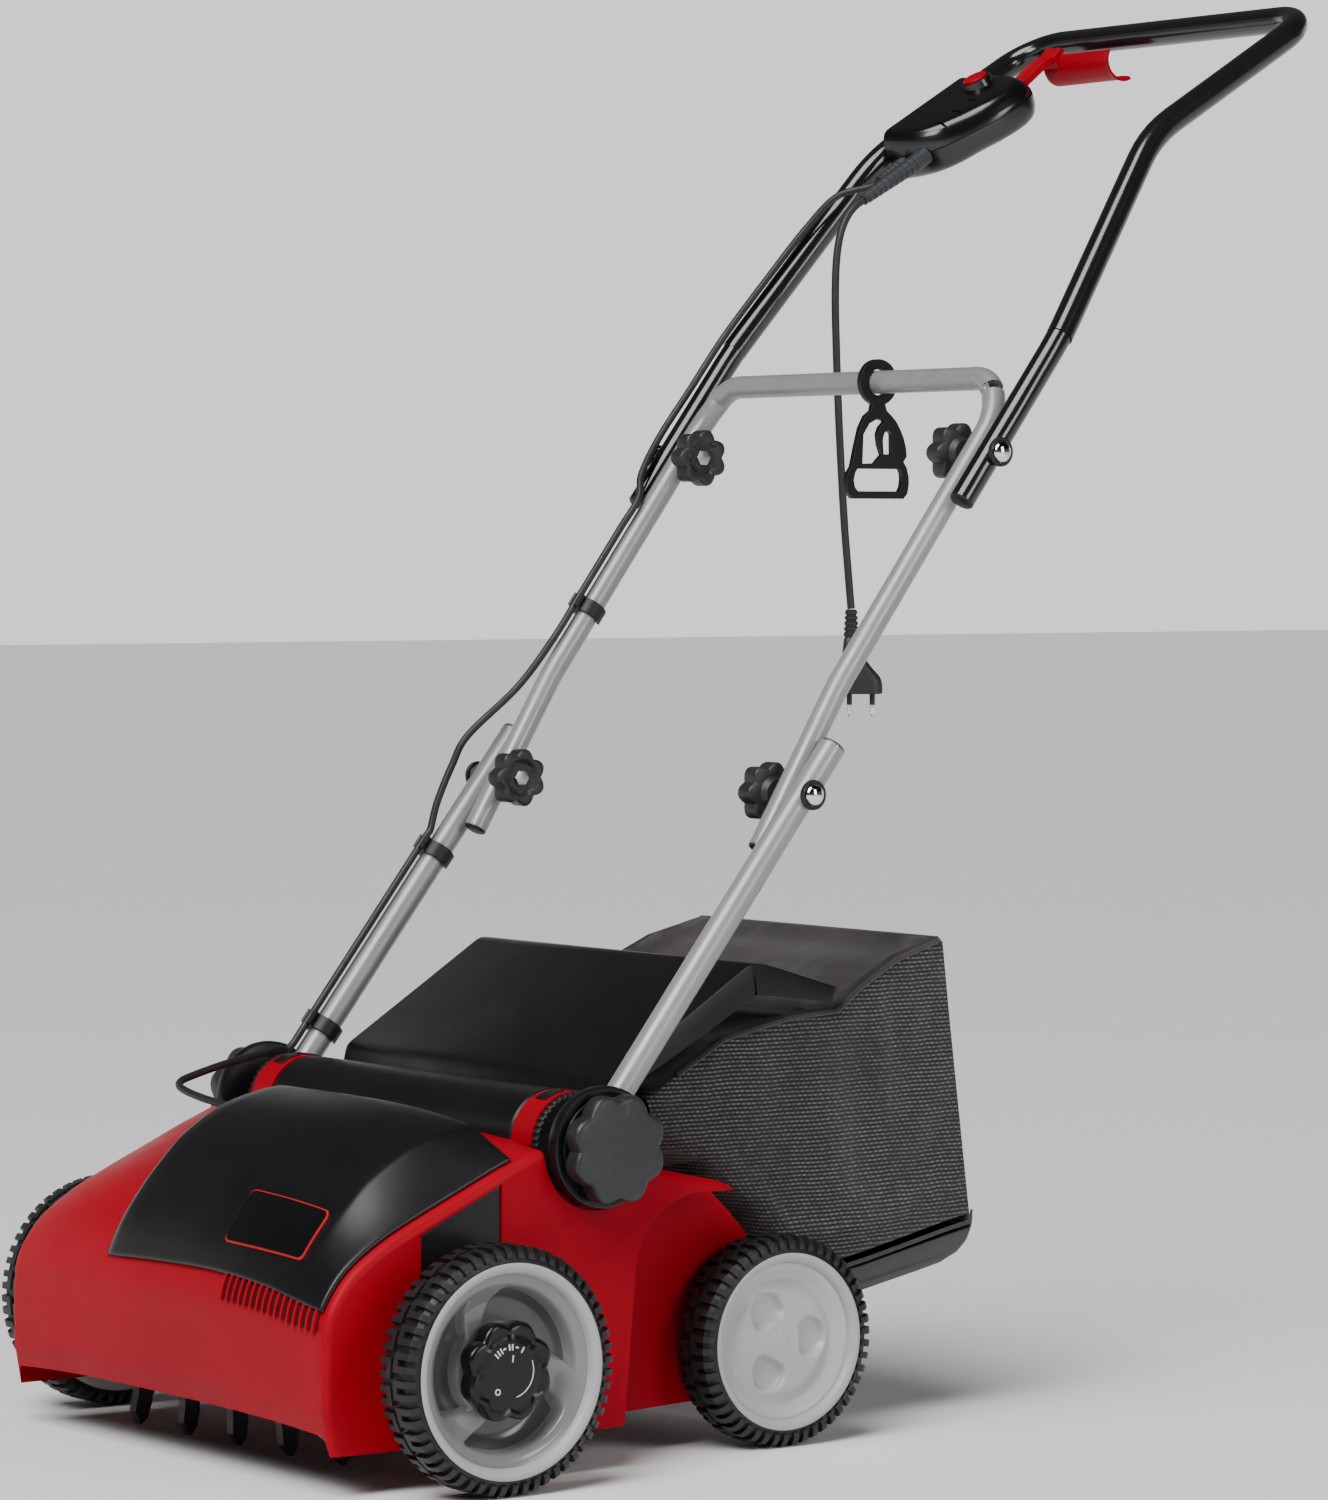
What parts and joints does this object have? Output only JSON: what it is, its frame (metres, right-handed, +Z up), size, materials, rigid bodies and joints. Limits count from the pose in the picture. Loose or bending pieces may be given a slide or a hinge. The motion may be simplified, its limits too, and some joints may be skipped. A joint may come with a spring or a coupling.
{
  "type": "lawn dethatcher",
  "caption": "Electric lawn dethatcher: red hood over a tine roller, side wheels with depth dials, folding tube handle with switch box, and a rear grass bag.",
  "frame": {"origin": "on the ground, central under the machine: bottom centre of its bounding box without cord and plug", "axes": "+Z is up, -Y is forwards in the working direction, and +X is the side with the motor cover and belt."},
  "size_m": [0.5874, 0.9897, 1.1142],
  "materials": {
    "red_plastic": "moulded red plastic, semi-gloss",
    "black_plastic": "satin black moulded plastic",
    "knob_plastic": "dark grey textured plastic",
    "wheel_plastic": "light grey moulded plastic",
    "tyre_rubber": "black ribbed tread",
    "cable_rubber": "black flexible rubber",
    "grey_paint": "grey powder coat on steel tube",
    "black_paint": "glossy black powder coat on steel tube",
    "steel": "zinc plated steel",
    "motor_steel": "dark painted steel can",
    "die_cast_alloy": "die-cast alloy",
    "chrome": "polished plating",
    "bag_mesh": "woven polyester mesh",
    "tray_plastic": "dark grey moulded plastic"
  },
  "bodies": {
    "chassis": {"deck_housing": "red_plastic", "motor_cover": "black_plastic", "cover_badge": "black_plastic", "cross_cover": "black_plastic", "pivot_boss_left": "black_plastic", "pivot_boss_right": "black_plastic", "side_insert_left": "black_plastic", "side_insert_right": "black_plastic", "motor": "motor_steel", "roller_bearing_left": "die_cast_alloy", "roller_bearing_right": "die_cast_alloy", "drive_belt": "cable_rubber", "rear_axle": "steel", "motor_lead_deck": "cable_rubber"},
    "lower_handle": {"lower_tube_left": "grey_paint", "lower_tube_right": "grey_paint", "pivot_washer_left": "black_plastic", "pivot_washer_right": "black_plastic", "cable_clip_base": "cable_rubber", "cable_clip_lower": "cable_rubber", "lower_bolt_left": "chrome", "lower_bolt_right": "chrome", "motor_lead_lower": "cable_rubber"},
    "middle_handle": {"mid_frame": "grey_paint", "cable_clip_mid": "cable_rubber", "motor_lead_upper": "cable_rubber"},
    "upper_handle_body": {"upper_handle": "black_paint", "upper_bolt_left": "chrome", "upper_bolt_right": "chrome", "switch_box": "black_plastic", "cord_boot": "cable_rubber", "power_cord": "cable_rubber", "plug": "cable_rubber"},
    "bag": {"bag_fabric": "bag_mesh", "bag_tray": "tray_plastic"},
    "flap": {"discharge_flap": "black_plastic"},
    "roller": {"tine_roller": "steel", "roller_pulley": "die_cast_alloy"},
    "motor_drive": {"motor_pulley": "steel"},
    "lever": {"switch_lever": "red_plastic"},
    "button": {"safety_button": "red_plastic"},
    "hook": {"cord_hook": "black_plastic"},
    "pivot_knob_left_body": {"pivot_knob_left": "knob_plastic"},
    "lower_knob_left_body": {"lower_knob_left": "knob_plastic"},
    "upper_knob_left_body": {"upper_knob_left": "knob_plastic"},
    "depth_carrier_left_body": {"depth_carrier_left": "black_plastic"},
    "depth_knob_left_body": {"depth_knob_left": "knob_plastic"},
    "front_wheel_left": {"front_tyre_left": "tyre_rubber", "front_rim_left": "wheel_plastic"},
    "rear_wheel_left": {"rear_tyre_left": "tyre_rubber", "rear_rim_left": "wheel_plastic"},
    "pivot_knob_right_body": {"pivot_knob_right": "knob_plastic"},
    "lower_knob_right_body": {"lower_knob_right": "knob_plastic"},
    "upper_knob_right_body": {"upper_knob_right": "knob_plastic"},
    "depth_carrier_right_body": {"depth_carrier_right": "black_plastic"},
    "depth_knob_right_body": {"depth_knob_right": "knob_plastic"},
    "front_wheel_right": {"front_tyre_right": "tyre_rubber", "front_rim_right": "wheel_plastic"},
    "rear_wheel_right": {"rear_tyre_right": "tyre_rubber", "rear_rim_right": "wheel_plastic"}
  },
  "joints": [
    {"name": "handle_tilt", "type": "hinge", "parent": "chassis", "child": "lower_handle", "pos_m": [0, -0.2562, 0.238], "axis": [1, 0, 0], "range_deg": [-6, 30], "deforming": ["motor_lead_deck"]},
    {"name": "middle_fold", "type": "hinge", "parent": "lower_handle", "child": "middle_handle", "pos_m": [0, -0.0585, 0.4901], "axis": [1, 0, 0], "range_deg": [0, 115], "deforming": ["motor_lead_lower"]},
    {"name": "upper_fold", "type": "hinge", "parent": "middle_handle", "child": "upper_handle_body", "pos_m": [0, 0.1223, 0.7488], "axis": [1, 0, 0], "range_deg": [-90, 0], "deforming": ["motor_lead_upper"]},
    {"name": "pivot_knob_turn_left", "type": "hinge", "parent": "chassis", "child": "pivot_knob_left_body", "pos_m": [0.25, -0.2562, 0.238], "axis": [1, 0, 0], "continuous": true},
    {"name": "lower_knob_turn_left", "type": "hinge", "parent": "lower_handle", "child": "lower_knob_left_body", "pos_m": [0.17, -0.0585, 0.4901], "axis": [1, 0, 0], "continuous": true},
    {"name": "upper_knob_turn_left", "type": "hinge", "parent": "upper_handle_body", "child": "upper_knob_left_body", "pos_m": [0.17, 0.1223, 0.7488], "axis": [1, 0, 0], "continuous": true},
    {"name": "depth_slide_left", "type": "slide", "parent": "chassis", "child": "depth_carrier_left_body", "axis": [0, 0, 1], "range_m": [0, 0.012]},
    {"name": "depth_knob_turn_left", "type": "hinge", "parent": "depth_carrier_left_body", "child": "depth_knob_left_body", "pos_m": [0.283, -0.3762, 0.09], "axis": [1, 0, 0], "range_deg": [0, 120]},
    {"name": "front_wheel_spin_left", "type": "hinge", "parent": "depth_carrier_left_body", "child": "front_wheel_left", "pos_m": [0.273, -0.3762, 0.09], "axis": [1, 0, 0], "continuous": true},
    {"name": "rear_wheel_spin_left", "type": "hinge", "parent": "chassis", "child": "rear_wheel_left", "pos_m": [0.204, -0.0783, 0.0797], "axis": [1, 0, 0], "continuous": true},
    {"name": "pivot_knob_turn_right", "type": "hinge", "parent": "chassis", "child": "pivot_knob_right_body", "pos_m": [-0.25, -0.2562, 0.238], "axis": [1, 0, 0], "continuous": true},
    {"name": "lower_knob_turn_right", "type": "hinge", "parent": "lower_handle", "child": "lower_knob_right_body", "pos_m": [-0.17, -0.0585, 0.4901], "axis": [1, 0, 0], "continuous": true},
    {"name": "upper_knob_turn_right", "type": "hinge", "parent": "upper_handle_body", "child": "upper_knob_right_body", "pos_m": [-0.17, 0.1223, 0.7488], "axis": [1, 0, 0], "continuous": true},
    {"name": "depth_slide_right", "type": "slide", "parent": "chassis", "child": "depth_carrier_right_body", "axis": [0, 0, 1], "range_m": [0, 0.012]},
    {"name": "depth_knob_turn_right", "type": "hinge", "parent": "depth_carrier_right_body", "child": "depth_knob_right_body", "pos_m": [-0.283, -0.3762, 0.09], "axis": [1, 0, 0], "range_deg": [0, 120]},
    {"name": "front_wheel_spin_right", "type": "hinge", "parent": "depth_carrier_right_body", "child": "front_wheel_right", "pos_m": [-0.273, -0.3762, 0.09], "axis": [1, 0, 0], "continuous": true},
    {"name": "rear_wheel_spin_right", "type": "hinge", "parent": "chassis", "child": "rear_wheel_right", "pos_m": [-0.204, -0.0783, 0.0797], "axis": [1, 0, 0], "continuous": true},
    {"name": "roller_spin", "type": "hinge", "parent": "chassis", "child": "roller", "pos_m": [0, -0.4212, 0.052], "axis": [1, 0, 0], "continuous": true},
    {"name": "motor_pulley_spin", "type": "hinge", "parent": "chassis", "child": "motor_drive", "pos_m": [0.13, -0.3562, 0.16], "axis": [1, 0, 0], "continuous": true},
    {"name": "flap_lift", "type": "hinge", "parent": "chassis", "child": "flap", "pos_m": [0, -0.2072, 0.28], "axis": [1, 0, 0], "range_deg": [0, 34]},
    {"name": "bag_remove", "type": "slide", "parent": "chassis", "child": "bag", "axis": [0, 1, 0], "range_m": [0, 0.1]},
    {"name": "hook_swing", "type": "hinge", "parent": "middle_handle", "child": "hook", "pos_m": [0.0283, 0.1551, 0.807], "axis": [1, 0, 0], "range_deg": [-30, 30]},
    {"name": "lever_pull", "type": "hinge", "parent": "upper_handle_body", "child": "lever", "pos_m": [-0.1223, 0.38361, 1.03935], "axis": [1, 0, 0], "range_deg": [0, 8], "stiffness_Nm_per_rad": 0.6, "springref_deg": -11.46},
    {"name": "button_press", "type": "slide", "parent": "upper_handle_body", "child": "button", "axis": [0, 0.5143, -0.8576], "range_m": [0, 0.004], "stiffness_N_per_m": 400, "springref_m": -0.002}
  ],
  "couplings": [
    {"joint": "motor_pulley_spin", "follows": "roller_spin", "ratio": 1.9333},
    {"joint": "depth_knob_turn_left", "follows": "depth_slide_left", "rad_per_m": 174.5},
    {"joint": "depth_knob_turn_right", "follows": "depth_slide_right", "rad_per_m": 174.5}
  ]
}
